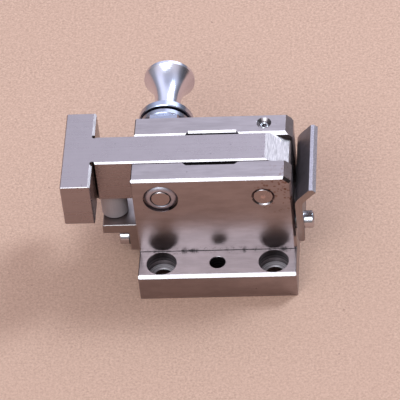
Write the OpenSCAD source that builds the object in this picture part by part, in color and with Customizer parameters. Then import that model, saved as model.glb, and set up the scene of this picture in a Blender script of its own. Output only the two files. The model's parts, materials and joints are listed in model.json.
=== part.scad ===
// Swing-over T-arm locating unit for a checking fixture.
// A slotted steel block carries an arm that flips up on a cross pin and is held down by a
// quarter-turn pull pin. The arm rests on a button on the left and opens against a bent stop
// plate on the right.
// Origin: on the axis of the dowel hole, in the mounting face. +Z up, +X towards the pivot.

/* [Base block] */
// Width of the block along X
body_w = 50; // [48:0.5:60]
// Height of the two cheeks above the mounting face
cheek_h = 42; // [42:0.5:44]
// Thickness of the front cheek
front_cheek_t = 7.8; // [7.4:0.1:9]
// Thickness of the back cheek
back_cheek_t = 8.2; // [7.4:0.1:9]
// Width of the slot between the cheeks
slot_w = 12; // [11:0.1:13]
// Height of the slot floor above the mounting face
slot_floor = 20; // [16:0.5:21]
// Depth of the front foot along Y
foot_d = 11; // [11:0.5:14]
// Thickness of the foot
foot_t = 10; // [8:0.5:12]
// Distance from the front of the foot to the line of its holes
hole_line = 5.8; // [5.5:0.1:6]
// Corner chamfer at the top of both cheeks, pivot side
corner_c = 2.3; // [1:0.1:3]
// Chamfer along the front top edge of the foot
foot_c = 0.95; // [0.3:0.05:1.5]
// Chamfer along the front edges of the front cheek
cheek_c = 0.8; // [0.3:0.05:1.2]

/* [Mounting holes] */
// Distance between the two screw holes
bolt_spacing = 35.5; // [35:0.5:37]
// Clearance hole for the screws
bolt_hole_d = 5.5; // [5.2:0.1:5.8]
// Counterbore diameter
cbore_d = 9.6; // [9:0.1:9.6]
// Counterbore depth
cbore_depth = 5.4; // [4:0.1:6]
// Dowel hole diameter
dowel_d = 5; // [4:0.5:6]
// Edge break where the screw holes meet their seats
hole_c = 0.3; // [0.2:0.05:0.5]
// Edge break at the top of the dowel hole
dowel_c = 0.12; // [0.1:0.02:0.4]

/* [Pins] */
// Diameter of the pivot pin and of the lock pin
pin_d = 6; // [5.5:0.1:6]
// Height of both pins above the mounting face
pin_z = 33.7; // [33.5:0.1:34]
// Place of the pivot pin along X
pivot_x = 15.9; // [15.5:0.1:16]
// Place of the lock pin along X
lock_x = -16.2; // [-17:0.1:-16]
// Radial running clearance of the pins
run_gap = 0.04; // [0.02:0.01:0.08]
// Distance across the two flats of the lock pin
flat_w = 4; // [3.6:0.1:4.2]

/* [Swing arm] */
// Height of the arm
arm_h = 16.3; // [15.8:0.1:16.4]
// Underside of the arm above the mounting face
arm_z = 26.2; // [26.1:0.1:26.4]
// Thickness of the head along X
head_t = 9.45; // [8:0.05:12]
// Length of the head along Y
head_l = 32.7; // [28:0.1:36]
// Gap between the head and the block
head_gap = 12.4; // [12:0.1:13]
// Chamfer along the top edges of the arm
arm_c = 0.5; // [0.2:0.05:0.6]

/* [Stop plate] */
// Thickness of the bent plate
plate_t = 2.2; // [2:0.1:2.5]
// Length of the plate along Y
plate_l = 29; // [26:0.5:30]
// Gap between the plate and the block
plate_gap = 0.6; // [0.5:0.1:1]
// Height where the bend starts, above the mounting face
bend_z = 29.4; // [28:0.1:29.6]
// Angle of the upper part from vertical
bend_a = 43; // [40:1:45]
// Length of the flat upper part above the bend
flare_l = 5.05; // [4:0.05:6]

/* [Rest] */
// Diameter of the rest button
button_d = 8.4; // [7:0.1:9.4]
// Top of the ledge above the mounting face
ledge_z = 15.55; // [14:0.05:17]
// Thickness of the ledge
ledge_t = 3.5; // [3:0.1:4]
// Width of the rest bracket along Y
bracket_w = 14.3; // [12:0.1:16]

/* [Pull knob] */
// Diameter of the flange nearest the block
flange_d = 17.6; // [16:0.2:18]
// Diameter of the narrowest part of the neck
neck_d = 8.2; // [8:0.1:9]
// Diameter of the flared end
flare_d = 16.3; // [14:0.1:18]
// Length of the knob along Y
knob_l = 21.6; // [18:0.1:24]
// Width across the flats of the guide bush
hex_af = 15; // [13:0.5:16]
// Diameter of the guide bush's round collar
collar_d = 16.8; // [16:0.2:17.6]

/* [Hidden] */
$fn = 64;
through = 1;
sqrt2 = sqrt(2);

// Block
x_right = body_w / 2;
x_left = -body_w / 2;
y_foot = -hole_line;
y_front = foot_d - hole_line;
y_slot0 = y_front + front_cheek_t;
y_slot1 = y_slot0 + slot_w;
y_back = y_slot1 + back_cheek_t;
y_mid = (y_slot0 + y_slot1) / 2;
edge_c = 0.3;
slot_edge_c = 0.95;
back_edge_c = 0.6;
edge_runout = 0.2;

// Relief pocket at the mouth of the slot, on both inner faces
pocket_x0 = -9.3;
pocket_x1 = 8.6;
pocket_depth = 1.3;
pocket_edge_c = 0.65;

// Pivot
pivot_csk_d = 7.4;
bush_d = 9;
set_screw_d = 3;
set_screw_l = 4.4;
set_screw_af = 1.5;
set_hole_d = 3.04;
set_screw_csk_d = 4.7;
set_screw_y = y_back - 3.6;
cheek_mid_y = y_slot1 + back_cheek_t / 2;

// Lock
lock_bush_d = 10.6;
lock_seat_d = 11.1;
lock_seat_depth = 1.5;
guide_d = 10;
guide_hex_l = 4.2;
collar_l = 2;
guide_recess = 0.2;
y_hex = y_back + guide_hex_l;
seal_gap = 0.9;
y_flange = y_hex + seal_gap;
pin_in_knob = 12;
glue_gap = 0.02;
flat_margin = 0.2;
throat_w = flat_w + 0.4;
lock_r = pivot_x - lock_x;

// Arm
arm_top = arm_z + arm_h;
arm_side_gap = 0.05;
bar_y0 = y_slot0 + arm_side_gap;
bar_y1 = y_slot1 - arm_side_gap;
head_x1 = x_left - head_gap;
head_x0 = head_x1 - head_t;
head_y0 = y_mid - head_l / 2;
head_y1 = y_mid + head_l / 2;
arm_x1 = x_right - 0.55;
relief_d = 1.45;
head_c = 0.16;
inner_run = 0.8;
inner_drop = 0.45;
bevel_l = 7.3;
bevel_drop = 3.55;
nose_l = 0.5;
nose_drop = 0.5;

// Stop plate
plate_x0 = x_right + plate_gap;
plate_x1 = plate_x0 + plate_t;
plate_z0 = 13.4;
bend_r = 2.3;
plate_y0 = y_front - 0.2;
plate_end_l = 0.75;
plate_end_t = 0.7;
m3_d = 3;
m3_clear_d = 3.4;
m3_head_d = 5.6;
m3_head_l = 3;
m3_screw_l = 12;
stop_screw_z = 19.2;
front_cheek_mid_y = y_front + front_cheek_t / 2;

// Rest
bracket_y0 = y_mid - bracket_w / 2;
ledge_x0 = -36.8;
leg_t = 3.6;
leg_z0 = 4.2;
ledge_c = 0.12;
button_x = -33.1;
button_gap = 0.05;
button_z1 = arm_z - button_gap;
rest_screw_z = 7.75;
rest_screw_offset = 4.2;
rest_washer_t = 0.4;

// Bars of square section set on edge: cut along an edge, they leave a chamfer with legs c.
module bevel_x(x0, x1, y, z, c) {
    translate([(x0 + x1) / 2, y, z])
        rotate([45, 0, 0])
            cube([x1 - x0, c * sqrt2, c * sqrt2], center = true);
}

module bevel_y(y0, y1, x, z, c) {
    translate([x, (y0 + y1) / 2, z])
        rotate([0, 45, 0])
            cube([c * sqrt2, y1 - y0, c * sqrt2], center = true);
}

module bevel_z(z0, z1, x, y, c) {
    translate([x, y, (z0 + z1) / 2])
        rotate([0, 0, 45])
            cube([c * sqrt2, c * sqrt2, z1 - z0], center = true);
}

// Round bar along +Y from y0 to y1; d2 is the diameter at y1 when it tapers.
module bar_y(x, z, y0, y1, d, d2 = undef) {
    translate([x, y0, z])
        rotate([-90, 0, 0])
            cylinder(h = y1 - y0, d1 = d, d2 = is_undef(d2) ? d : d2);
}

// Round bar along +X from x0 to x1.
module bar_x(y, z, x0, x1, d) {
    translate([x0, y, z])
        rotate([0, 90, 0])
            cylinder(h = x1 - x0, d = d);
}

// Box from one corner to the opposite one.
module block(low, high) {
    translate(low)
        cube(high - low);
}

// Prism along +X from an outline given as [y, z] points.
module prism_x(x0, x1, outline) {
    translate([x0, 0, 0])
        rotate([90, 0, 90])
            linear_extrude(height = x1 - x0)
                polygon(outline);
}

// Prism along +Y from an outline given as [x, z] points.
module prism_y(y0, y1, outline) {
    translate([0, y1, 0])
        rotate([90, 0, 0])
            linear_extrude(height = y1 - y0)
                polygon(outline);
}

// Points of an arc from angle a0 to a1 in n steps.
function arc(cx, cy, r, a0, a1, n) =
    [for (i = [0 : n]) let (a = a0 + (a1 - a0) * i / n) [cx + r * cos(a), cy + r * sin(a)]];

// Hexagon with flats w apart.
module hex(w, h) {
    cylinder(h = h, d = w / cos(30), $fn = 6);
}

// Socket cap screw along -Z with the underside of its head at the origin.
module cap_screw(d, len, head_d, head_l, socket_af) {
    rim_c = 0.35;
    difference() {
        union() {
            translate([0, 0, -len])
                cylinder(h = len, d = d);
            rotate_extrude()
                polygon([[0, 0], [head_d / 2, 0], [head_d / 2, head_l - rim_c],
                         [head_d / 2 - rim_c, head_l], [0, head_l]]);
        }
        translate([0, 0, head_l / 2])
            hex(socket_af, head_l / 2 + through);
    }
}

// Flat ring on a screw along X.
module ring_x(y, z, x0, x1, outer_d, hole_d) {
    difference() {
        bar_x(y, z, x0, x1, outer_d);
        bar_x(y, z, x0 - through, x1 + through, hole_d);
    }
}

module block_outline() {
    prism_x(x_left, x_right, [
        [y_foot, 0], [y_foot, foot_t - foot_c], [y_foot + foot_c, foot_t], [y_front, foot_t],
        [y_front, cheek_h - cheek_c], [y_front + cheek_c, cheek_h],
        [y_slot0 - edge_c, cheek_h], [y_slot0, cheek_h - edge_c],
        [y_slot0, slot_floor], [y_slot1, slot_floor],
        [y_slot1, cheek_h - slot_edge_c], [y_slot1 + slot_edge_c, cheek_h],
        [y_back - edge_c, cheek_h], [y_back, cheek_h - edge_c], [y_back, 0],
    ]);
}

module block_edges() {
    low = -through;
    top = cheek_h + through;
    // top corner of both cheeks, pivot side, and its front edge
    bevel_y(y_front - through, y_back + through, x_right, cheek_h, corner_c);
    translate([x_right - corner_c / 2, y_front, cheek_h - corner_c / 2])
        rotate([0, 45, 0])
            rotate([45, 0, 0])
                cube([corner_c * 3, cheek_c * sqrt2, cheek_c * sqrt2], center = true);
    // top left edge of both cheeks
    bevel_y(y_front - through, y_back + through, x_left, cheek_h, edge_c);
    // upright edges of the front cheek
    bevel_z(foot_t + edge_runout, top, x_right, y_front, cheek_c);
    bevel_z(foot_t + edge_runout, top, x_left, y_front, edge_c);
    // upright edges of the slot, the back and the foot, and the sides of the foot
    for (x = [x_left, x_right]) {
        for (y = [y_slot0, y_slot1])
            bevel_z(slot_floor + edge_runout, top, x, y, edge_c);
        bevel_z(low, top, x, y_back, back_edge_c);
        bevel_z(low, foot_t + through, x, y_foot, edge_c);
        bevel_y(y_foot - through, y_front - edge_runout, x, foot_t, edge_c);
    }
}

module slot_pockets() {
    for (side = [[y_slot0, -1], [y_slot1, 1]]) {
        y = side[0];
        out = side[1] * pocket_depth;
        translate([0, 0, slot_floor])
            linear_extrude(height = cheek_h)
                polygon([[pocket_x0, y], [pocket_x0 + pocket_depth, y + out],
                         [pocket_x1 - pocket_depth, y + out], [pocket_x1, y]]);
    }
    bevel_x(pocket_x0 + pocket_depth, pocket_x1 - pocket_depth,
            y_slot1 + pocket_depth, cheek_h, pocket_edge_c);
}

module block_holes() {
    // mounting screws and dowel
    for (x = [-bolt_spacing / 2, bolt_spacing / 2])
        translate([x, 0, 0]) {
            translate([0, 0, -through])
                cylinder(h = foot_t + 2 * through, d = bolt_hole_d);
            translate([0, 0, foot_t - cbore_depth])
                cylinder(h = cbore_depth + through, d = cbore_d);
            translate([0, 0, foot_t - cbore_depth - hole_c])
                cylinder(h = hole_c + through, d1 = bolt_hole_d,
                         d2 = bolt_hole_d + 2 * hole_c + 2 * through);
        }
    translate([0, 0, -through])
        cylinder(h = foot_t + 2 * through, d = dowel_d);
    translate([0, 0, foot_t - dowel_c])
        cylinder(h = dowel_c + through, d1 = dowel_d, d2 = dowel_d + 2 * dowel_c + 2 * through);
    // pivot pin, countersunk on both sides
    csk = (pivot_csk_d - pin_d) / 2;
    bar_y(pivot_x, pin_z, y_front - through, y_back + through, pin_d);
    bar_y(pivot_x, pin_z, y_front - through, y_front + csk, pivot_csk_d + 2 * through, pin_d);
    bar_y(pivot_x, pin_z, y_back - csk, y_back + through, pin_d, pivot_csk_d + 2 * through);
    // set screw above the pivot pin
    set_csk = (set_screw_csk_d - set_hole_d) / 2;
    translate([pivot_x, set_screw_y, pin_z])
        cylinder(h = cheek_h, d = set_hole_d);
    translate([pivot_x, set_screw_y, cheek_h - set_csk])
        cylinder(h = set_csk + through, d1 = set_hole_d, d2 = set_screw_csk_d + 2 * through);
    // lock bush in the front cheek, guide bush in the back cheek
    bar_y(lock_x, pin_z, y_front - through, y_slot0 + through, lock_bush_d);
    bar_y(lock_x, pin_z, y_front - through, y_front + lock_seat_depth, lock_seat_d);
    bar_y(lock_x, pin_z, y_slot1 - through, y_back + through, guide_d);
    // tapped holes of the stop plate and of the rest bracket
    for (y = [front_cheek_mid_y, cheek_mid_y])
        bar_x(y, stop_screw_z, x_right - m3_screw_l, x_right + through, m3_d);
    for (y = [y_mid - rest_screw_offset, y_mid + rest_screw_offset])
        bar_x(y, rest_screw_z, x_left - through, x_left + m3_screw_l, m3_d);
}

module frame_block() {
    color([0.68, 0.66, 0.67])
        difference() {
            block_outline();
            block_edges();
            slot_pockets();
            block_holes();
        }
}

// Plain dowel through both cheeks, flush at both ends, with a centre mark in front.
module pivot_pin() {
    end_c = 0.12;
    mark_d = 1.4;
    mark_depth = 0.12;
    len = y_back - y_front;
    color([0.7, 0.68, 0.68])
        translate([pivot_x, y_front, pin_z])
            rotate([-90, 0, 0])
                rotate_extrude()
                    polygon([[0, mark_depth], [mark_d / 2, 0], [pin_d / 2 - end_c, 0],
                             [pin_d / 2, end_c], [pin_d / 2, len - end_c],
                             [pin_d / 2 - end_c, len], [0, len]]);
}

module pivot_set_screw() {
    socket_depth = 2.2;
    r = set_screw_d / 2;
    end_c = 0.3;
    mouth_c = 0.2;
    mouth_r = set_screw_af / 2 / cos(30);
    color([0.3, 0.3, 0.32])
        translate([pivot_x, set_screw_y, pin_z + pin_d / 2])
            difference() {
                rotate_extrude()
                    polygon([[0, 0], [r, 0], [r, set_screw_l - end_c], [r - end_c, set_screw_l],
                             [mouth_r + mouth_c, set_screw_l], [mouth_r, set_screw_l - mouth_c],
                             [0, set_screw_l - mouth_c]]);
                translate([0, 0, set_screw_l - socket_depth])
                    hex(set_screw_af, socket_depth + through);
            }
}

// Hardened bush in the front cheek, rounded round its face.
module lock_bush() {
    round_r = 1.9;
    mouth_c = 0.4;
    bore_r = pin_d / 2 + run_gap;
    outer_r = lock_bush_d / 2;
    color([0.6, 0.59, 0.6])
        translate([lock_x, y_front, pin_z])
            rotate([-90, 0, 0])
                rotate_extrude()
                    polygon(concat(
                        [[bore_r, mouth_c], [bore_r + mouth_c, 0]],
                        arc(outer_r - round_r, round_r, round_r, -90, 0, 8),
                        [[outer_r, front_cheek_t], [bore_r, front_cheek_t]]));
}

// Screwed guide in the back cheek: hexagon against the cheek, round collar outside.
module guide_bush() {
    collar_c = 0.25;
    y_collar = y_hex - collar_l;
    color([0.75, 0.75, 0.78])
        difference() {
            union() {
                bar_y(lock_x, pin_z, y_slot1 + guide_recess, y_back, guide_d);
                translate([lock_x, y_back, pin_z])
                    rotate([-90, 0, 0])
                        hex(hex_af, guide_hex_l - collar_l);
                translate([lock_x, y_collar, pin_z])
                    rotate([-90, 0, 0])
                        rotate_extrude()
                            polygon([[0, 0], [collar_d / 2 - collar_c, 0], [collar_d / 2, collar_c],
                                     [collar_d / 2, collar_l - collar_c],
                                     [collar_d / 2 - collar_c, collar_l], [0, collar_l]]);
            }
            bar_y(lock_x, pin_z, y_slot1 - through, y_hex + through, pin_d + 2 * run_gap);
        }
}

module plate_outline() {
    pivot = [plate_x1 + bend_r, bend_z];
    outer_r = bend_r + plate_t;
    // upright part with a round lower edge
    translate([plate_x0, plate_z0 + plate_t / 2])
        square([plate_t, bend_z - plate_z0 - plate_t / 2]);
    translate([plate_x0 + plate_t / 2, plate_z0 + plate_t / 2])
        circle(d = plate_t);
    // bend, turned about a centre on the outer side
    translate(pivot)
        intersection() {
            difference() {
                circle(r = outer_r);
                circle(r = bend_r);
            }
            polygon([[0, 0], [-outer_r * 2, 0],
                     [-outer_r * 2 * cos(bend_a), outer_r * 2 * sin(bend_a)]]);
        }
    // upper part, its end dressed in two flats
    translate(pivot)
        rotate(-bend_a)
            polygon([[-outer_r, 0], [-bend_r, 0], [-bend_r, flare_l + plate_end_l],
                     [plate_end_t - outer_r, flare_l + plate_end_l], [-outer_r, flare_l]]);
}

module stop_plate() {
    color([0.45, 0.43, 0.42])
        difference() {
            translate([0, plate_y0 + plate_l, 0])
                rotate([90, 0, 0])
                    linear_extrude(height = plate_l)
                        plate_outline();
            for (y = [front_cheek_mid_y, cheek_mid_y])
                bar_x(y, stop_screw_z, plate_x0 - through, plate_x1 + through, m3_clear_d);
        }
}

module stop_spacer(y) {
    color([0.6, 0.6, 0.6])
        ring_x(y, stop_screw_z, x_right, plate_x0, m3_head_d, m3_clear_d);
}

module stop_screw(y) {
    socket_af = 2.5;
    color([0.78, 0.78, 0.82])
        translate([plate_x1, y, stop_screw_z])
            rotate([0, 90, 0])
                cap_screw(m3_d, m3_screw_l, m3_head_d, m3_head_l, socket_af);
}

module rest_bracket() {
    bracket_y1 = bracket_y0 + bracket_w;
    csk_d = 6;
    color([0.5, 0.46, 0.44])
        difference() {
            prism_y(bracket_y0, bracket_y1, [
                [x_left, leg_z0], [x_left - leg_t, leg_z0],
                [x_left - leg_t, ledge_z - ledge_t], [ledge_x0 + edge_c, ledge_z - ledge_t],
                [ledge_x0, ledge_z - ledge_t + edge_c], [ledge_x0, ledge_z - edge_c],
                [ledge_x0 + edge_c, ledge_z], [x_left, ledge_z],
            ]);
            for (y = [bracket_y0, bracket_y1])
                bevel_x(ledge_x0 - through, x_left + through, y, ledge_z, ledge_c);
            for (y = [y_mid - rest_screw_offset, y_mid + rest_screw_offset])
                bar_x(y, rest_screw_z, x_left - leg_t - through, x_left + through, m3_clear_d);
            translate([button_x, y_mid, ledge_z - ledge_t - through])
                cylinder(h = ledge_t + 2 * through, d = m3_clear_d);
            translate([button_x, y_mid, ledge_z - ledge_t])
                cylinder(h = (csk_d - m3_clear_d) / 2, d1 = csk_d, d2 = m3_clear_d);
        }
}

module rest_washer(y) {
    color([0.3, 0.3, 0.3])
        ring_x(y, rest_screw_z, x_left - leg_t - rest_washer_t, x_left - leg_t,
               m3_head_d + 0.2, m3_clear_d);
}

module rest_screw(y) {
    socket_af = 2.5;
    color([0.78, 0.78, 0.82])
        translate([x_left - leg_t - rest_washer_t, y, rest_screw_z])
            rotate([0, -90, 0])
                cap_screw(m3_d, m3_screw_l, m3_head_d, m3_head_l, socket_af);
}

module rest_button() {
    tap_depth = 6;
    r = button_d / 2;
    h = button_z1 - ledge_z;
    color([0.55, 0.52, 0.52])
        translate([button_x, y_mid, ledge_z])
            rotate_extrude()
                polygon([[m3_d / 2, 0], [r - edge_c, 0], [r, edge_c], [r, h - edge_c],
                         [r - edge_c, h], [0, h], [0, tap_depth], [m3_d / 2, tap_depth]]);
}

// Countersunk screw that holds the button from below.
module rest_button_screw() {
    head_d = 5.8;
    head_l = (head_d - m3_d) / 2;
    length = 8;
    socket_depth = 1;
    sink = 0.05;
    color([0.3, 0.3, 0.32])
        translate([button_x, y_mid, ledge_z - ledge_t + sink])
            difference() {
                rotate_extrude()
                    polygon([[0, 0], [head_d / 2, 0], [m3_d / 2, head_l],
                             [m3_d / 2, length], [0, length]]);
                translate([0, 0, -through])
                    hex(2, socket_depth + through);
            }
}

module arm_profile() {
    prism_y(head_y0, head_y1, [
        [head_x0, arm_z], [arm_x1 - edge_c, arm_z], [arm_x1, arm_z + edge_c],
        [arm_x1, arm_top - bevel_drop - nose_drop], [arm_x1 - nose_l, arm_top - bevel_drop],
        [arm_x1 - nose_l - bevel_l, arm_top], [head_x0, arm_top],
    ]);
}

module arm_plan() {
    translate([0, 0, arm_z - through])
        linear_extrude(height = arm_h + 2 * through)
            polygon([
                [head_x0, head_y0], [head_x1, head_y0], [head_x1, bar_y0],
                [arm_x1 + through, bar_y0], [arm_x1 + through, bar_y1], [head_x1, bar_y1],
                [head_x1, head_y1], [head_x0, head_y1],
            ]);
}

// Wedge that breaks the top edge of the head on the side of the bar.
module inner_break(y0, y1) {
    prism_y(y0, y1, [
        [head_x1 - inner_run, arm_top], [head_x1, arm_top - inner_drop],
        [head_x1 + through, arm_top - inner_drop], [head_x1 + through, arm_top + through],
        [head_x1 - inner_run, arm_top + through],
    ]);
}

module arm_edges() {
    for (level = [[arm_top, arm_c], [arm_z, edge_c]]) {
        z = level[0];
        bevel_y(head_y0 - through, head_y1 + through, head_x0, z, edge_c);
        for (y = [head_y0, head_y1])
            bevel_x(head_x0 - through, head_x1 + through, y, z, head_c);
        for (y = [bar_y0, bar_y1])
            bevel_x(head_x1, arm_x1 + through, y, z, level[1]);
    }
    inner_break(head_y0 - through, bar_y0);
    inner_break(bar_y1, head_y1 + through);
    for (x = [head_x0, head_x1])
        for (y = [head_y0, head_y1])
            bevel_z(arm_z - through, arm_top + through, x, y, edge_c);
}

// Way out of the lock hole for the flats of the lock pin: a slot on a circle about the pivot.
module lock_throat() {
    intersection() {
        difference() {
            bar_y(pivot_x, pin_z, y_slot0 - through, y_slot1 + through, 2 * lock_r + throat_w);
            bar_y(pivot_x, pin_z, y_slot0 - 2 * through, y_slot1 + 2 * through,
                  2 * lock_r - throat_w);
        }
        block([lock_x - throat_w, y_slot0 - 3, arm_z - 3], [lock_x + pin_d, y_slot1 + 3, pin_z]);
    }
}

module swing_arm() {
    color([0.7, 0.68, 0.69])
        difference() {
            intersection() {
                arm_profile();
                arm_plan();
            }
            arm_edges();
            for (y = [bar_y0, bar_y1])
                translate([head_x1, y, arm_z - through])
                    cylinder(h = arm_h + 2 * through, d = relief_d);
            bar_y(pivot_x, pin_z, bar_y0 - through, bar_y1 + through, bush_d);
            bar_y(lock_x, pin_z, bar_y0 - through, bar_y1 + through, pin_d + 2 * run_gap);
            lock_throat();
        }
}

module arm_bush() {
    color([0.72, 0.55, 0.3])
        difference() {
            bar_y(pivot_x, pin_z, bar_y0, bar_y1, bush_d);
            bar_y(pivot_x, pin_z, bar_y0 - through, bar_y1 + through, pin_d + 2 * run_gap);
        }
}

module o_ring() {
    section_d = 0.86;
    ring_r = 4.4;
    color([0.05, 0.05, 0.05])
        translate([lock_x, y_hex + seal_gap / 2, pin_z])
            rotate([-90, 0, 0])
                rotate_extrude()
                    translate([ring_r, 0])
                        circle(d = section_d, $fn = 24);
}

// Round pin with two upright flats where it crosses the arm.
module lock_pin() {
    end_c = 0.2;
    r = pin_d / 2;
    len = y_flange + pin_in_knob - y_front;
    color([0.7, 0.68, 0.68])
        difference() {
            translate([lock_x, y_front, pin_z])
                rotate([-90, 0, 0])
                    rotate_extrude()
                        polygon([[0, 0], [r - end_c, 0], [r, end_c], [r, len], [0, len]]);
            for (side = [-1, 1])
                translate([lock_x + side * (flat_w / 2 + pin_d / 2), y_mid, pin_z])
                    cube([pin_d, slot_w + 2 * flat_margin, 2 * pin_d], center = true);
        }
}

// Turned knob: flange, waist and trumpet flare with a plain rim, bored for the pin.
module pull_knob() {
    flange_t = 2.4;
    flange_c = 0.25;
    root_r = 0.8;
    rim_l = 1.9;
    rim_c = 0.4;
    flange_r = flange_d / 2;
    neck_r = neck_d / 2;
    flare_r = flare_d / 2;
    bore_r = pin_d / 2 + glue_gap;
    waist_z = flange_t + 4.2;
    rim_z = knob_l - rim_l;
    steps = 24;
    curve = 3.1;
    dome = 0.35;
    color([0.8, 0.82, 0.88])
        translate([lock_x, y_flange, pin_z])
            rotate([-90, 0, 0])
                rotate_extrude()
                    polygon(concat(
                        [[bore_r, 0], [flange_r - flange_c, 0], [flange_r, flange_c],
                         [flange_r, flange_t - flange_c], [flange_r - flange_c, flange_t]],
                        arc(neck_r + root_r, flange_t + root_r, root_r, -90, -180, 6),
                        [for (i = [0 : steps]) let (t = i / steps)
                            [neck_r + (flare_r - rim_c - neck_r) * pow(t, curve),
                             waist_z + (rim_z - waist_z) * t]],
                        [[flare_r, rim_z + rim_c], [flare_r, knob_l - rim_c],
                         [flare_r - rim_c, knob_l], [flare_r * 0.5, knob_l + dome * 0.7],
                         [0, knob_l + dome], [0, pin_in_knob], [bore_r, pin_in_knob]]));
}

frame_block();
pivot_pin();
pivot_set_screw();
lock_bush();
guide_bush();
stop_plate();
stop_spacer(front_cheek_mid_y);  // stop_spacer_front
stop_spacer(cheek_mid_y);  // stop_spacer_rear
stop_screw(front_cheek_mid_y);  // stop_screw_front
stop_screw(cheek_mid_y);  // stop_screw_rear
rest_bracket();
rest_washer(y_mid - rest_screw_offset);  // rest_washer_front
rest_washer(y_mid + rest_screw_offset);  // rest_washer_rear
rest_screw(y_mid - rest_screw_offset);  // rest_screw_front
rest_screw(y_mid + rest_screw_offset);  // rest_screw_rear
rest_button();
rest_button_screw();
swing_arm();
arm_bush();
o_ring();
lock_pin();
pull_knob();
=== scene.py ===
"""Looks of the swing-over T-arm locating unit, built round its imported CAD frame."""

import json
import math

import bpy
from mathutils import Matrix, Vector


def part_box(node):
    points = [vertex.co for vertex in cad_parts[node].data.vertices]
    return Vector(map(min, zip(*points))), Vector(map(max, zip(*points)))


MM = 0.001

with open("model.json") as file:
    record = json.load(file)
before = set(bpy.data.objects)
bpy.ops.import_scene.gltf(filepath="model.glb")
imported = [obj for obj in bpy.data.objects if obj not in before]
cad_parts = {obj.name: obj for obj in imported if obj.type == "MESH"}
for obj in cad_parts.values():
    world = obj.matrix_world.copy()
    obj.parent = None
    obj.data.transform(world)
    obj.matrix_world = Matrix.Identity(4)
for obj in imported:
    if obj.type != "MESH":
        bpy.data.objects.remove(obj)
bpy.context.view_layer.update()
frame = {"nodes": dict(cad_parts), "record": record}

block_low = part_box("frame_block")[0]
pivot_low, pivot_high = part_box("pivot_pin")
lock_low, lock_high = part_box("lock_bush")
button_low, button_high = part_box("rest_button")
arm_low, arm_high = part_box("swing_arm")
knob_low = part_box("pull_knob")[0]
pivot_axis = (pivot_low + pivot_high) / 2
lock_axis = (lock_low + lock_high) / 2

# Places that the painted shade, the rust and the tool marks follow
CHEEK_Y = pivot_low.y                   # front face of the front cheek
FOOT_Z = 10 * MM                        # top of the foot
SEAT_Z = 4.6 * MM                       # floor of the counterbores
BOLT_X = 35.5 * MM / 2                  # screw holes, to either side of the middle
ARM_Y = (arm_low.y + arm_high.y) / 2    # middle of the arm
BAR_HALF = 5.95 * MM                    # half the width of the arm's bar
HEAD_X1 = block_low.x - 12.4 * MM       # inner side of the arm's head
SLOT_REACH = 7.5 * MM                   # the slot's faces lie within this of the arm's middle
FLANGE_REACH = 2.4 * MM                 # thickness of the knob's flange

# Radii just past the walls they name
COUNTERBORE_R = 4.84 * MM
BOLT_HOLE_R = 2.8 * MM
DOWEL_R = 2.54 * MM
PIN_R = 3.1 * MM

EDGE = 0.1 * MM             # softened edges of machined steel
LINE_BUMP = 0.0008 * MM     # depth of ground and turned lines


# ---------------------------------------------------------------- node graph helper


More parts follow.
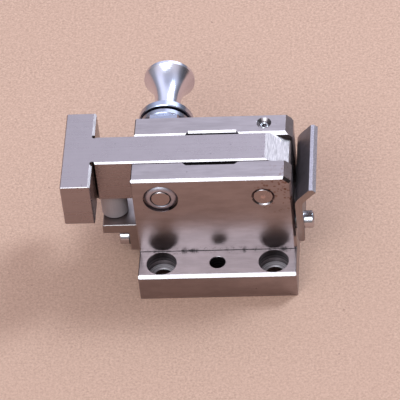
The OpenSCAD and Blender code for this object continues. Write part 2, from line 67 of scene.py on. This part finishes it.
class Graph:
    """A material's node tree, built from short calls."""

    def __init__(self, name, metallic=1.0):
        self.material = bpy.data.materials.new(name)
        self.material.use_nodes = True
        self.tree = self.material.node_tree
        self.shader = self.tree.nodes["Principled BSDF"]
        self.shader.inputs["Metallic"].default_value = metallic
        coords = self.tree.nodes.new("ShaderNodeTexCoord")
        self.place = coords.outputs["Object"]
        self.normal = coords.outputs["Normal"]

    def node(self, kind, **settings):
        """A new node with these attributes set."""
        made = self.tree.nodes.new(kind)
        for key, value in settings.items():
            setattr(made, key, value)
        return made

    def put(self, socket, value):
        """Links a socket to the input, or sets a plain value on it."""
        if isinstance(value, bpy.types.NodeSocket):
            self.tree.links.new(value, socket)
        elif value is not None:
            socket.default_value = value

    def math(self, operation, a, b=None):
        made = self.node("ShaderNodeMath", operation=operation)
        self.put(made.inputs[0], a)
        self.put(made.inputs[1], b)
        return made.outputs[0]

    def product(self, first, *others):
        """Product of any number of values."""
        for other in others:
            first = self.math("MULTIPLY", first, other)
        return first

    def above(self, value, limit):
        """1 where value is over the limit, 0 elsewhere."""
        return self.math("GREATER_THAN", value, limit)

    def split(self, vector):
        made = self.node("ShaderNodeSeparateXYZ")
        self.put(made.inputs[0], vector)
        return made.outputs[0], made.outputs[1], made.outputs[2]

    def scaled(self, vector, scale, offset=(0, 0, 0)):
        made = self.node("ShaderNodeMapping")
        self.put(made.inputs["Vector"], vector)
        made.inputs["Scale"].default_value = scale
        made.inputs["Location"].default_value = offset
        return made.outputs[0]

    def noise(self, vector, scale=1.0, detail=2.0, roughness=0.5, distortion=0.0):
        made = self.node("ShaderNodeTexNoise")
        self.put(made.inputs["Vector"], vector)
        made.inputs["Scale"].default_value = scale
        made.inputs["Detail"].default_value = detail
        made.inputs["Roughness"].default_value = roughness
        made.inputs["Distortion"].default_value = distortion
        return made.outputs["Fac"]

    def cells(self, vector, scale):
        made = self.node("ShaderNodeTexVoronoi")
        self.put(made.inputs["Vector"], vector)
        made.inputs["Scale"].default_value = scale
        return made.outputs["Distance"]

    def span(self, value, a, b, low=0.0, high=1.0):
        """Value from a..b mapped smoothly onto low..high."""
        made = self.node("ShaderNodeMapRange", interpolation_type="SMOOTHSTEP")
        self.put(made.inputs["Value"], value)
        made.inputs["From Min"].default_value = a
        made.inputs["From Max"].default_value = b
        made.inputs["To Min"].default_value = low
        made.inputs["To Max"].default_value = high
        return made.outputs[0]

    def blend(self, share, a, b, mode="MIX"):
        made = self.node("ShaderNodeMix", data_type="RGBA", blend_type=mode)
        self.put(made.inputs[0], share)
        self.put(made.inputs[6], (*a, 1) if isinstance(a, tuple) else a)
        self.put(made.inputs[7], (*b, 1) if isinstance(b, tuple) else b)
        return made.outputs[2]

    def pick(self, share, a, b):
        """Vector a where share is 0, and b where it is 1."""
        made = self.node("ShaderNodeMix", data_type="VECTOR")
        self.put(made.inputs[0], share)
        self.put(made.inputs[4], a)
        self.put(made.inputs[5], b)
        return made.outputs[1]

    def distance(self, centre, axes="xyz"):
        """Distance from a point, counted along the named axes only."""
        keep = tuple(1.0 if axis in axes else 0.0 for axis in "xyz")
        flat = self.node("ShaderNodeVectorMath", operation="MULTIPLY")
        self.put(flat.inputs[0], self.place)
        flat.inputs[1].default_value = keep
        made = self.node("ShaderNodeVectorMath", operation="DISTANCE")
        self.put(made.inputs[0], flat.outputs[0])
        made.inputs[1].default_value = [part * kept for part, kept in zip(centre, keep)]
        return made.outputs["Value"]

    def rounded(self, radius):
        """Normal with the mesh's edges softened to this radius."""
        made = self.node("ShaderNodeBevel", samples=4)
        made.inputs["Radius"].default_value = radius
        return made.outputs[0]

    def bump(self, height, distance, strength=1.0, base=None):
        made = self.node("ShaderNodeBump")
        made.inputs["Strength"].default_value = strength
        made.inputs["Distance"].default_value = distance
        self.put(made.inputs["Height"], height)
        self.put(made.inputs["Normal"], base)
        return made.outputs[0]

    def finish(self, colour, roughness, normal, **plain):
        """Connects the shader and returns the material."""
        self.put(self.shader.inputs["Base Color"], colour)
        self.put(self.shader.inputs["Roughness"], roughness)
        self.put(self.shader.inputs["Normal"], normal)
        for name, value in plain.items():
            self.shader.inputs[name.replace("_", " ")].default_value = value
        return self.material


# ---------------------------------------------------------------- shared steel patterns


def as_vector(g, value):
    """Vector with value along x and nothing along y and z."""
    made = g.node("ShaderNodeCombineXYZ")
    g.put(made.inputs[0], value)
    return made.outputs[0]


def grey(g, value):
    """Grey colour of this value."""
    made = g.node("ShaderNodeCombineXYZ")
    for socket in made.inputs:
        g.put(socket, value)
    return made.outputs[0]


def rates(along, long, fine):
    """Noise rates that draw a pattern out along one axis."""
    return tuple(long if axis == along else fine for axis in "xyz")


def grind_lines(g, along="x", long=60.0, fine=5200.0):
    """Fine ground lines along one axis; faces square to that axis get upright lines."""
    lines = g.scaled(g.place, rates(along, long, fine))
    upright = g.scaled(g.place, (fine, fine, long))
    side = g.math("ABSOLUTE", g.split(g.normal)["xyz".index(along)])
    where = g.pick(g.above(side, 0.75), lines, upright)
    return g.noise(where, 1.0, 3.0, 0.6)


def broad_lines(g, along="x", long=14.0, fine=900.0):
    """Wide soft bands along one axis."""
    return g.noise(g.scaled(g.place, rates(along, long, fine)), 1.0, 4.0, 0.65)


def specks(g, scale, size, seed=0.0):
    """Small dark dots, 1 in a dot."""
    cells = g.cells(g.scaled(g.place, (1, 1, 1), (seed, seed, seed)), scale)
    thin = g.noise(g.scaled(g.place, (1, 1, 1), (seed, 0, seed)), scale * 0.3, 1.0)
    dots = g.span(cells, size * 0.4, size, 1.0, 0.0)
    return g.product(dots, g.span(thin, 0.56, 0.66))


def centred(g, value, amount):
    """Noise about its middle, times amount."""
    return g.product(g.math("SUBTRACT", value, 0.5), amount)


def ground_colour(g, colour, lines, wide, mottle, amount):
    """Colour with the lines and clouds that a ground face has."""
    value = g.math("ADD", g.product(lines, amount), 1.0 - amount / 2)
    value = g.math("ADD", value, centred(g, wide, amount * 1.2))
    value = g.math("ADD", value, centred(g, mottle, amount))
    return g.blend(1.0, colour, grey(g, value), "MULTIPLY")


def steel(name, colour, roughness, along="x", amount=0.1, edge=EDGE):
    """Base of every ground steel material, with its colour, roughness and normal as sockets."""
    g = Graph(name)
    lines = grind_lines(g, along)
    wide = broad_lines(g, along)
    mottle = g.noise(g.place, 220.0, 3.0, 0.6)
    g.colour = ground_colour(g, colour, lines, wide, mottle, amount)
    rough = g.math("ADD", g.product(wide, 0.08), roughness - 0.04)
    g.rough = g.math("ADD", rough, centred(g, mottle, 0.06))
    g.bumped = g.bump(lines, LINE_BUMP, 1.0, g.rounded(edge))
    return g


# ---------------------------------------------------------------- materials


# Metals
BLOCK_STEEL = (0.380, 0.313, 0.314)
ARM_STEEL = (0.365, 0.30, 0.303)
PIN_STEEL = (0.37, 0.295, 0.29)
BUSH_STEEL = (0.46, 0.405, 0.44)
PLATE_STEEL = (0.26, 0.222, 0.228)
BRACKET_STEEL = (0.36, 0.295, 0.285)
BUTTON_STEEL = (0.41, 0.345, 0.35)
BRIGHT_SCREW = (0.60, 0.55, 0.57)
DARK_SCREW = (0.52, 0.48, 0.49)
WASHER_STEEL = (0.12, 0.11, 0.11)
BRONZE = (0.62, 0.38, 0.16)

# Pairs, dark and light, that a pattern mixes
TURNED_SEAT_AND_HIGHLIGHT = (0.45, 0.38, 0.38), (0.95, 0.84, 0.84)
MILLED_BEVEL = (0.185, 0.150, 0.146), (0.36, 0.292, 0.284)
SHEARED_EDGE = (0.29, 0.235, 0.225), (0.42, 0.345, 0.325)
FILED_END = (0.36, 0.31, 0.33), (0.55, 0.475, 0.50)
KNOB_ALUMINIUM = (0.62, 0.585, 0.66), (0.74, 0.70, 0.79)
PLATED_GUIDE = (0.28, 0.275, 0.33), (0.40, 0.385, 0.45)
RUBBER = (0.032, 0.033, 0.043), (0.11, 0.11, 0.12)

# Marks, and tones of painted shade
GRIME_AND_SHADE = (0.045, 0.04, 0.042)
RELIEF_SHADE_BLACK = (0.012, 0.011, 0.011)
RUST = (0.16, 0.06, 0.03)
MILL_SCALE = (0.11, 0.095, 0.095)
CENTRE_MARK = (0.62, 0.45, 0.42)
FLANGE_SHADE_TONE = (0.43, 0.435, 0.53)


def corner_shade(g, y, z):
    """Painted shade: a dark line in the corner between foot and cheek, with darker patches beside
    it.
    """
    dy = g.math("ABSOLUTE", g.math("SUBTRACT", y, CHEEK_Y))
    dz = g.math("ABSOLUTE", g.math("SUBTRACT", z, FOOT_Z))
    corner = g.math("MAXIMUM", dy, dz)
    ragged = g.product(g.noise(g.place, 1500.0, 4.0, 0.7), -0.3 * MM)
    line = g.span(g.math("ADD", corner, ragged), -0.1 * MM, 0.12 * MM, 1.0, 0.0)
    patches = g.span(g.noise(g.place, 520.0, 4.0, 0.75), 0.5, 0.66, 0.0, 0.75)
    near_corner_patches = g.product(g.span(corner, 0.2 * MM, 2.4 * MM, 1.0, 0.0), patches)
    return g.math("MAXIMUM", line, near_corner_patches)


def bore_wall_shade(g, z):
    """Painted shade on the walls of the screw holes and the dowel hole, in rings down the wall."""
    rings = g.noise(g.scaled(as_vector(g, z), (1700.0, 1, 1)), 1.0, 3.0)
    depth = g.span(z, FOOT_Z - 0.6 * MM, FOOT_Z - 0.3 * MM, 1.0, 0.0)
    painted_darkening = 0.0
    for centre, reach in ((-BOLT_X, COUNTERBORE_R), (BOLT_X, COUNTERBORE_R), (0.0, DOWEL_R)):
        inside = g.span(g.distance((centre, 0, 0), "xy"), reach, reach + 0.06 * MM, 1.0, 0.0)
        painted_darkening = g.math("MAXIMUM", painted_darkening, g.product(inside, depth))
    return g.product(painted_darkening, g.span(rings, 0.4, 0.6, 0.45, 0.95))


def screw_seat(g, z):
    """Turned seat of each screw, which gets a bright painted highlight, and the cutter rings on it
    and on the wall above.
    """
    ring = g.math("MINIMUM", g.distance((-BOLT_X, 0, 0), "xy"), g.distance((BOLT_X, 0, 0), "xy"))
    level = g.span(z, SEAT_Z + 0.02 * MM, SEAT_Z + 0.1 * MM, 1.0, 0.0)
    inside = g.span(ring, COUNTERBORE_R, COUNTERBORE_R + 0.06 * MM, 1.0, 0.0)
    outside = g.span(ring, BOLT_HOLE_R, BOLT_HOLE_R + 0.06 * MM)
    seat = g.product(level, inside, outside)
    turned = g.noise(g.scaled(as_vector(g, g.math("ADD", ring, z)), (2600.0, 1, 1)), 1.0, 2.0)
    rings = g.product(g.span(turned, 0.35, 0.65), inside)
    return seat, rings


def slot_face_shade(g, y):
    """Painted shade on the two inner faces of the slot."""
    ny = g.math("ABSOLUTE", g.split(g.normal)[1])
    off_middle = g.math("ABSOLUTE", g.math("SUBTRACT", y, ARM_Y))
    return g.product(g.math("LESS_THAN", off_middle, SLOT_REACH), g.above(ny, 0.9), 0.6)


def rust_dots(g):
    """Small rust spots above and to the right of the pivot pin."""
    centre = (pivot_axis.x + 5.5 * MM, CHEEK_Y, pivot_axis.z + 1.5 * MM)
    near = g.span(g.distance(centre), 3.0 * MM, 11.0 * MM, 1.0, 0.0)
    dots = g.span(g.cells(g.place, 800.0), 0.24, 0.48, 1.0, 0.0)
    some = g.span(g.noise(g.place, 480.0, 2.0), 0.40, 0.52)
    return g.product(dots, some, near)


def facet_reflection_shade(g):
    """Chamfers painted dark as their dim reflection: the front corner at the right, and the left
    edges of the tops.
    """
    nx, ny, nz = g.split(g.normal)
    corner = g.product(g.above(nx, 0.3), g.math("LESS_THAN", ny, -0.3), g.above(nz, 0.2))
    left_edge = g.product(g.math("LESS_THAN", nx, -0.4), g.above(nz, 0.4))
    return g.product(g.math("MAXIMUM", corner, left_edge), 0.8)


def block_material():
    """Ground block: painted shade in the foot corner, the bores and the slot, rust dots, and screw
    seats painted bright.
    """
    g = steel("ground_steel", BLOCK_STEEL, roughness=0.31, amount=0.13)
    y, z = g.split(g.place)[1:]
    # painted shade in the foot corner, in the bores and on the slot faces
    painted_darkening = g.math("MAXIMUM", corner_shade(g, y, z), bore_wall_shade(g, z))
    painted_darkening = g.math("MAXIMUM", painted_darkening, slot_face_shade(g, y))
    wiped = g.noise(g.scaled(g.place, (110.0, 600.0, 330.0)), 1.0, 4.0, 0.65)
    colour = g.blend(g.span(wiped, 0.36, 0.64, 0.0, 0.14), g.colour, GRIME_AND_SHADE)
    colour = g.blend(painted_darkening, colour, GRIME_AND_SHADE)
    colour = g.blend(g.product(specks(g, 420.0, 0.13), 0.5), colour, GRIME_AND_SHADE)
    colour = g.blend(g.product(rust_dots(g), 0.85), colour, RUST)
    # painted dark reflection on the chamfers at the right front corner and the left top edges
    colour = g.blend(facet_reflection_shade(g), colour, GRIME_AND_SHADE)
    rough = g.math("ADD", g.rough, g.product(painted_darkening, 0.1))
    seat, rings = screw_seat(g, z)
    # the seats are painted near-white: their turned rings are real, the brightness is a painted
    # highlight of the step
    turned = g.blend(rings, *TURNED_SEAT_AND_HIGHLIGHT)
    colour = g.blend(g.product(seat, 0.8), colour, turned)
    rough = g.math("ADD", rough, g.product(seat, 0.25))
    return g.finish(colour, rough, g.bump(rings, 0.02 * MM, 0.5, g.bumped))


def arm_material():
    """Ground arm with a milled bevel, and painted shade where the bar meets the head and on the
    head's inner side.
    """
    g = steel("arm_steel", ARM_STEEL, roughness=0.28, amount=0.11)
    nx, _, nz = g.split(g.normal)
    # milled bevel at the pivot end: rougher, with cutter lines across the arm
    bevel = g.product(g.above(nx, 0.25), g.above(nz, 0.6))
    cutter = g.noise(g.scaled(g.place, (5600.0, 330.0, 5600.0)), 1.0, 3.0, 0.6)
    cutter = g.span(cutter, 0.3, 0.7)
    milled = g.blend(cutter, *MILLED_BEVEL)
    colour = g.blend(bevel, g.colour, milled)
    # painted shade, near black, in the relief corners of the head
    for side in (-1, 1):
        centre = (HEAD_X1, ARM_Y + side * BAR_HALF, 0)
        relief_shade = g.span(g.distance(centre, "xy"), 0.65 * MM, 0.95 * MM, 1.0, 0.0)
        colour = g.blend(g.product(relief_shade, 0.9), colour, RELIEF_SHADE_BLACK)
    # painted shade on the sides facing +X, the inner side of the head among them
    inner_side_shade = g.product(g.above(nx, 0.9), g.span(nz, 0.1, 0.3, 0.3, 0.0))
    colour = g.blend(inner_side_shade, colour, GRIME_AND_SHADE)
    rough = g.math("ADD", g.rough, g.product(bevel, 0.05))
    pits = specks(g, 420.0, 0.12, 3.0)
    colour = g.blend(g.product(pits, 0.55), colour, GRIME_AND_SHADE)
    return g.finish(colour, rough, g.bumped)


def turned_lines(g, centre, rate=7000.0):
    """Rings about an axis along Y, as a lathe leaves them on a face."""
    ring = g.distance(centre, "xz")
    return g.noise(g.scaled(as_vector(g, ring), (rate, 1, 1)), 1.0, 2.0)


def pin_material():
    """Ground pins: faint rings on the ends and a pale centre mark on the pivot pin."""
    g = steel("pin_steel", PIN_STEEL, roughness=0.26, along="y", amount=0.07)
    colour = g.colour
    for centre in (pivot_axis, lock_axis):
        rings = turned_lines(g, centre)
        near = g.span(g.distance(centre, "xz"), PIN_R, PIN_R + 0.2 * MM, 1.0, 0.0)
        colour = g.blend(g.product(near, 0.25), colour, grey(g, rings), "OVERLAY")
    mark = g.span(g.distance(pivot_axis, "xz"), 0.5 * MM, 1.0 * MM, 0.8, 0.0)
    face = g.span(g.split(g.place)[1], CHEEK_Y + 0.3 * MM, CHEEK_Y + 0.6 * MM, 1.0, 0.0)
    colour = g.blend(g.product(mark, face), colour, CENTRE_MARK)
    return g.finish(colour, g.rough, g.bumped)


def bush_material():
    """Hard bush with turned rings, and painted shade where its bore meets the pin."""
    g = steel("bush_steel", BUSH_STEEL, roughness=0.46, along="y", amount=0.06, edge=4 * EDGE)
    rings = turned_lines(g, lock_axis, 9000.0)
    colour = g.blend(0.2, g.colour, grey(g, rings), "OVERLAY")
    gap_shade = g.span(g.distance(lock_axis, "xz"), PIN_R + 0.05 * MM, PIN_R + 0.3 * MM, 0.9, 0.0)
    colour = g.blend(gap_shade, colour, GRIME_AND_SHADE)
    return g.finish(colour, g.rough, g.bumped)


def plate_material():
    """Bent plate: dark rolled faces, lighter sheared sides and a bright filed end."""
    g = steel("plate_steel", PLATE_STEEL, roughness=0.4, along="y", amount=0.12)
    nx, ny, nz = g.split(g.normal)
    edge = g.above(g.math("ABSOLUTE", ny), 0.7)
    score = g.noise(g.scaled(g.place, (2600.0, 60.0, 500.0)), 1.0, 3.0, 0.6)
    sheared = g.blend(score, *SHEARED_EDGE)
    colour = g.blend(edge, g.colour, sheared)
    scale = g.span(g.noise(g.place, 160.0, 4.0, 0.65), 0.42, 0.7, 0.0, 0.35)
    face = g.math("SUBTRACT", 1.0, edge)
    colour = g.blend(g.product(scale, face), colour, MILL_SCALE)
    # filed end with a fine grain
    grain = g.span(g.noise(g.place, 2600.0, 3.0, 0.7), 0.38, 0.64)
    filed = g.blend(grain, *FILED_END)
    end = g.product(g.above(nz, 0.55), g.above(nx, -0.3))
    colour = g.blend(end, colour, filed)
    return g.finish(colour, g.rough, g.bumped)


def bracket_material():
    """Milled bracket, with painted shade round the foot of the button, under the arm."""
    g = steel("bracket_steel", BRACKET_STEEL, roughness=0.34, along="y", amount=0.14)
    seat = (button_low + button_high) / 2
    seat.z = button_low.z
    foot = g.span(g.distance(seat), 4.2 * MM, 6.5 * MM, 0.5, 0.0)
    # painted shade round the foot of the button, under the arm
    colour = g.blend(foot, g.colour, GRIME_AND_SHADE)
    return g.finish(colour, g.rough, g.bumped)


def button_material():
    """Dull button with fine upright scratches."""
    g = steel("button_steel", BUTTON_STEEL, roughness=0.7, along="z", amount=0.2)
    return g.finish(g.colour, g.rough, g.bumped, Metallic=0.3)


def screw_material(name, colour, roughness):
    """Small turned part along X, a little worn."""
    g = Graph(name)
    wear = g.noise(g.place, 900.0, 4.0, 0.6)
    rings = g.noise(g.scaled(g.place, (7000.0, 300.0, 300.0)), 1.0, 2.0)
    tone = g.blend(wear, tuple(part * 0.86 for part in colour), colour)
    tone = g.blend(0.12, tone, grey(g, rings), "OVERLAY")
    rough = g.math("ADD", g.product(wear, 0.14), roughness - 0.07)
    return g.finish(tone, rough, g.bump(rings, LINE_BUMP, 1.0, g.rounded(0.12 * MM)))


def knob_material():
    """Satin anodised aluminium with fine turning lines about the pull axis; the flange is painted a
    darker blue-grey as shade.
    """
    g = Graph("knob_aluminium")
    y = g.split(g.place)[1]
    turned = g.noise(g.scaled(as_vector(g, y), (9000.0, 1, 1)), 1.0, 3.0, 0.6)
    cloud = g.noise(g.place, 260.0, 3.0, 0.6)
    colour = g.blend(cloud, *KNOB_ALUMINIUM)
    # the flange gets a darker blue-grey: painted shade on the same aluminium
    flange_end = knob_low.y + FLANGE_REACH
    flange = g.span(y, flange_end - 0.05 * MM, flange_end + 0.1 * MM, 1.0, 0.0)
    colour = g.blend(flange, colour, FLANGE_SHADE_TONE)
    colour = g.blend(0.18, colour, grey(g, turned), "OVERLAY")
    rough = g.math("ADD", g.product(cloud, 0.06), 0.18)
    rough = g.math("ADD", rough, centred(g, turned, 0.1))
    return g.finish(colour, rough, g.bump(turned, LINE_BUMP, 1.0, g.rounded(0.05 * MM)))


def guide_material():
    """Plated guide, softly clouded."""
    g = Graph("guide_steel")
    wear = g.noise(g.place, 700.0, 4.0, 0.6)
    colour = g.blend(wear, *PLATED_GUIDE)
    rough = g.math("ADD", g.product(wear, 0.06), 0.22)
    return g.finish(colour, rough, g.rounded(0.08 * MM))


def bronze_material():
    """Bearing bronze, turned."""
    g = steel("bronze", BRONZE, roughness=0.3, along="y", amount=0.12)
    return g.finish(g.colour, g.rough, g.bumped)


def rubber_material():
    """Black rubber with dust in patches."""
    g = Graph("black_rubber", metallic=0.0)
    fine = g.noise(g.place, 6000.0, 2.0, 0.6)
    dust = g.noise(g.place, 900.0, 3.0, 0.6)
    dusty = g.span(dust, 0.5, 0.75, 0.0, 0.4)
    colour = g.blend(dusty, *RUBBER)
    rough = g.math("ADD", g.product(fine, 0.15), 0.33)
    return g.finish(colour, rough, g.bump(fine, 0.01 * MM, 0.5))


def make_materials():
    """Every material, under the name of its slot in the record."""
    return {
        "ground_steel": block_material(),
        "arm_steel": arm_material(),
        "pin_steel": pin_material(),
        "bush_steel": bush_material(),
        "plate_steel": plate_material(),
        "bracket_steel": bracket_material(),
        "button_steel": button_material(),
        "bright_screw": screw_material("bright_screw", BRIGHT_SCREW, 0.2),
        "dark_screw": screw_material("dark_screw", DARK_SCREW, 0.22),
        "washer_steel": screw_material("washer_steel", WASHER_STEEL, 0.42),
        "knob_aluminium": knob_material(),
        "guide_steel": guide_material(),
        "bronze": bronze_material(),
        "black_rubber": rubber_material(),
    }


def dress_nodes(materials):
    """Gives each CAD node the material of its slot in the record."""
    for part in frame["record"]["subparts"]:
        node = frame["nodes"].get(part["node"])
        if node is None:
            continue
        node.data.materials.clear()
        node.data.materials.append(materials[part["material_slot"]])


# ---------------------------------------------------------------- stage, light, camera


FLOOR_DARK = (0.355, 0.200, 0.141)
FLOOR_LIGHT = (0.56, 0.332, 0.242)
FLOOR_CLOUD = (0.468, 0.269, 0.193)
FLOOR_SPECK = (0.15, 0.08, 0.06)
FLOOR_HALF = 1.5


def floor_material():
    """Pale pressed board with a fine grain, a few specks and painted shade darkening the near side.
    """
    g = Graph("pale_board", metallic=0.0)
    fibre = g.noise(g.scaled(g.place, (1, 1, 1), (0.1, 0.2, 0)), 1300.0, 4.0, 0.75, 0.4)
    cloud = g.noise(g.place, 55.0, 3.0, 0.55)
    colour = g.blend(g.span(fibre, 0.3, 0.7), FLOOR_DARK, FLOOR_LIGHT)
    colour = g.blend(g.span(cloud, 0.3, 0.7, 0.0, 0.25), colour, FLOOR_CLOUD)
    # painted shade: the board darkens towards the near side
    near_side_shade = g.span(g.split(g.place)[1], -0.03, 0.08, 0.2, 0.0)
    colour = g.blend(near_side_shade, colour, FLOOR_DARK)
    dots = specks(g, 210.0, 0.09, 5.0)
    colour = g.blend(g.product(dots, 0.7), colour, FLOOR_SPECK)
    return g.finish(colour, 0.85, g.bump(fibre, 0.05 * MM, 0.4), Specular_IOR_Level=0.2)


def make_floor():
    """Plain sheet under the object."""
    mesh = bpy.data.meshes.new("floor")
    signs = ((-1, -1), (1, -1), (1, 1), (-1, 1))
    mesh.from_pydata([(sx * FLOOR_HALF, sy * FLOOR_HALF, 0) for sx, sy in signs], [], [(0, 1, 2, 3)])
    mesh.materials.append(floor_material())
    floor = bpy.data.objects.new("floor", mesh)
    bpy.context.scene.collection.objects.link(floor)


# Sky colours by the height of the direction, from the horizon (0) to straight up (1)
SKY = (
    (0.0, (0.30, 0.31, 0.34)),
    (0.25, (0.42, 0.46, 0.54)),
    (0.62, (1.13, 1.25, 1.53)),
    (0.76, (1.13, 1.25, 1.53)),
    (1.0, (0.56, 0.62, 0.77)),
)
FRONT_TINT = (0.84, 0.76, 0.66)
DARK_CARD = (0.906, -0.305, 0.284)


def ranged(tree, value, source, target):
    """Value from the source range mapped smoothly onto the target range."""
    made = tree.nodes.new("ShaderNodeMapRange")
    made.interpolation_type = "SMOOTHSTEP"
    made.inputs["From Min"].default_value, made.inputs["From Max"].default_value = source
    made.inputs["To Min"].default_value, made.inputs["To Max"].default_value = target
    tree.links.new(value, made.inputs["Value"])
    return made.outputs[0]


def sky_colour(tree, forward, upward):
    """Cool above and behind, warmer in front."""
    ramp = tree.nodes.new("ShaderNodeValToRGB")
    ramp.color_ramp.interpolation = "EASE"
    while len(ramp.color_ramp.elements) < len(SKY):
        ramp.color_ramp.elements.new(0.5)
    for element, (at, tone) in zip(ramp.color_ramp.elements, SKY):
        element.position = at
        element.color = (*tone, 1)
    tree.links.new(upward, ramp.inputs[0])
    tint = tree.nodes.new("ShaderNodeMix")
    tint.data_type, tint.blend_type = "RGBA", "MULTIPLY"
    tree.links.new(ranged(tree, forward, (-0.6, 0.15), (1.0, 0.0)), tint.inputs[0])
    tree.links.new(ramp.outputs[0], tint.inputs[6])
    tint.inputs[7].default_value = (*FRONT_TINT, 1)
    return tint.outputs[2]


def sky_shade(tree, direction, sideways):
    """Factor that darkens the right side, and more so round the dark card."""
    side = ranged(tree, sideways, (0.2, 0.75), (1.0, 0.6))
    card = tree.nodes.new("ShaderNodeVectorMath")
    card.operation = "DOT_PRODUCT"
    tree.links.new(direction, card.inputs[0])
    card.inputs[1].default_value = DARK_CARD
    shade = ranged(tree, card.outputs["Value"], (0.88, 0.96), (1.0, 0.45))
    both = tree.nodes.new("ShaderNodeMath")
    both.operation = "MULTIPLY"
    tree.links.new(side, both.inputs[0])
    tree.links.new(shade, both.inputs[1])
    return both.outputs[0]


def make_world():
    """Soft studio surround."""
    world = bpy.data.worlds.new("studio")
    bpy.context.scene.world = world
    world.use_nodes = True
    tree = world.node_tree
    direction = tree.nodes.new("ShaderNodeTexCoord").outputs["Generated"]
    split = tree.nodes.new("ShaderNodeSeparateXYZ")
    tree.links.new(direction, split.inputs[0])
    sideways, forward, upward = split.outputs
    shaded = tree.nodes.new("ShaderNodeVectorMath")
    shaded.operation = "SCALE"
    tree.links.new(sky_colour(tree, forward, upward), shaded.inputs[0])
    tree.links.new(sky_shade(tree, direction, sideways), shaded.inputs["Scale"])
    tree.links.new(shaded.outputs[0], tree.nodes["Background"].inputs[0])


# Lamps: name, direction from the object, distance, width and height, watts, colour
LAMPS = (
    ("front_softbox", (-0.2136, -0.62, 0.755), 0.9, (0.49, 0.46), 4.9, (0.71, 0.90, 1.0)),
    ("back_panel", (0.345, 0.705, 0.62), 1.8, (1.2, 0.9), 5.2, (0.74, 0.82, 1.0)),
    ("key", (0.50, 0.43, 0.752), 1.6, (0.4, 0.4), 23.0, (0.63, 0.84, 1.0)),
)
LIGHT_AIM = Vector((0, 15 * MM, 20 * MM))


def area_light(name, direction, distance, size, power, colour):
    """Rectangular lamp at a distance along a direction, turned to the object."""
    data = bpy.data.lights.new(name, "AREA")
    data.shape = "RECTANGLE"
    data.size, data.size_y = size
    data.energy = power
    data.color = colour
    lamp = bpy.data.objects.new(name, data)
    bpy.context.scene.collection.objects.link(lamp)
    way = Vector(direction).normalized()
    lamp.location = LIGHT_AIM + way * distance
    lamp.rotation_mode = "QUATERNION"
    lamp.rotation_quaternion = (-way).to_track_quat("-Z", "Y")


def make_lights():
    for lamp in LAMPS:
        area_light(*lamp)


# Camera: angles in degrees, lens and sensor in millimetres
VIEW_AZIMUTH = 7.572
VIEW_ELEVATION = 45.616
VIEW_ROLL = -6.855
VIEW_TARGET = Vector((-5.55 * MM, 17.82 * MM, 20.0 * MM))
VIEW_DISTANCE = 1.0487
LENS = 297.5
SENSOR = 36.0


def make_camera():
    """Long lens from the front, above, rolled a little."""
    data = bpy.data.cameras.new("camera")
    data.lens = LENS
    data.sensor_width = SENSOR
    data.clip_start, data.clip_end = 0.05, 10.0
    camera = bpy.data.objects.new("camera", data)
    bpy.context.scene.collection.objects.link(camera)
    azimuth, elevation, roll = map(math.radians, (VIEW_AZIMUTH, VIEW_ELEVATION, VIEW_ROLL))
    level = math.cos(elevation)
    back = Vector((math.sin(azimuth) * level, -math.cos(azimuth) * level, math.sin(elevation)))
    right = Vector((math.cos(azimuth), math.sin(azimuth), 0))
    up = back.cross(right)
    x_axis = right * math.cos(roll) + up * math.sin(roll)
    y_axis = up * math.cos(roll) - right * math.sin(roll)
    turn = Matrix((x_axis, y_axis, back)).transposed().to_4x4()
    camera.matrix_world = Matrix.Translation(VIEW_TARGET + back * VIEW_DISTANCE) @ turn
    bpy.context.scene.camera = camera


dress_nodes(make_materials())
make_floor()
make_world()
make_camera()
make_lights()
bpy.context.scene.view_settings.view_transform = "Standard"
